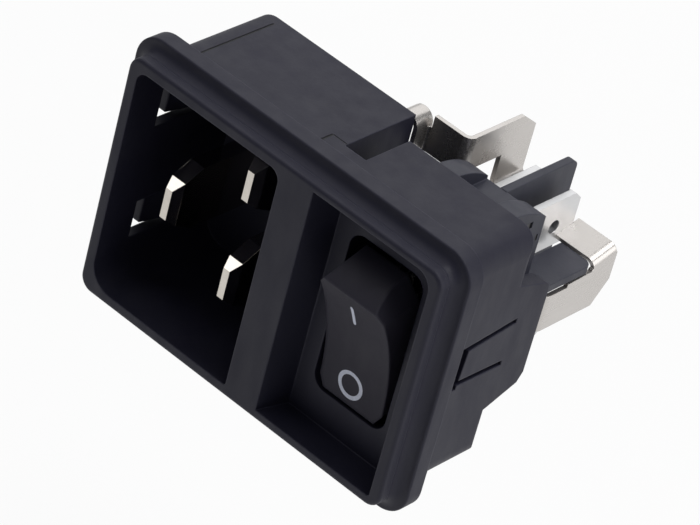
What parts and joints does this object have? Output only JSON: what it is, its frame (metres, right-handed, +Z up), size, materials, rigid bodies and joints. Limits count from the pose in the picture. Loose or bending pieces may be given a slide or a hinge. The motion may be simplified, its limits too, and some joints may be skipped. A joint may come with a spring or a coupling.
{
  "type": "switched panel power inlet",
  "caption": "Snap-in panel power inlet with flat pins in a deep shroud, joined with a rocker switch, folded bus bars and blade terminals behind.",
  "frame": {"origin": "centre of the flange on its rear face, where the panel bears", "axes": "+X along the long side from the inlet to the switch, +Y to the rear through the panel, +Z up; the front face looks to -Y"},
  "size_m": [0.0486, 0.0351, 0.034],
  "materials": {
    "moulding": "satin black",
    "rocker": "satin black",
    "plated": "nickel plated",
    "contact": "silver plated",
    "steel": "plain"
  },
  "bodies": {
    "body": {"housing": "moulding", "terminal_carrier": "moulding", "live_pin": "plated", "neutral_pin": "plated", "earth_pin": "plated", "earth_tab": "plated", "live_busbar": "plated", "neutral_busbar": "plated", "live_in_tab": "plated", "neutral_in_tab": "plated", "live_out_tab": "plated", "neutral_out_tab": "plated", "live_fixed_contact": "contact", "neutral_fixed_contact": "contact"},
    "rocker": {"rocker": "rocker", "live_spring": "steel", "neutral_spring": "steel"},
    "live_plunger": {"live_plunger": "steel"},
    "neutral_plunger": {"neutral_plunger": "steel"},
    "live_seesaw": {"live_seesaw": "contact", "live_moving_contact": "contact"},
    "neutral_seesaw": {"neutral_seesaw": "contact", "neutral_moving_contact": "contact"}
  },
  "joints": [
    {"name": "rocker_tilt", "type": "hinge", "parent": "body", "child": "rocker", "pos_m": [0.01285, 0.00137, 0.0002], "axis": [-1, 0, 0], "range_deg": [0, 35]},
    {"name": "live_plunger_press", "type": "slide", "parent": "rocker", "child": "live_plunger", "axis": [0, -0.9537, -0.3007], "range_m": [0, 0.0008], "stiffness_N_per_m": 800, "springref_m": -0.001, "deforming": ["live_spring"]},
    {"name": "neutral_plunger_press", "type": "slide", "parent": "rocker", "child": "neutral_plunger", "axis": [0, -0.9537, -0.3007], "range_m": [0, 0.0008], "stiffness_N_per_m": 800, "springref_m": -0.001, "deforming": ["neutral_spring"]},
    {"name": "live_seesaw_tilt", "type": "hinge", "parent": "body", "child": "live_seesaw", "pos_m": [0.01033, 0.00877, 0.0002], "axis": [1, 0, 0], "range_deg": [0, 16]},
    {"name": "neutral_seesaw_tilt", "type": "hinge", "parent": "body", "child": "neutral_seesaw", "pos_m": [0.01537, 0.00877, 0.0002], "axis": [1, 0, 0], "range_deg": [0, 16]}
  ],
  "couplings": [
    {"joint": "live_seesaw_tilt", "follows": "rocker_tilt", "ratio": 0.45714},
    {"joint": "neutral_seesaw_tilt", "follows": "rocker_tilt", "ratio": 0.45714}
  ]
}
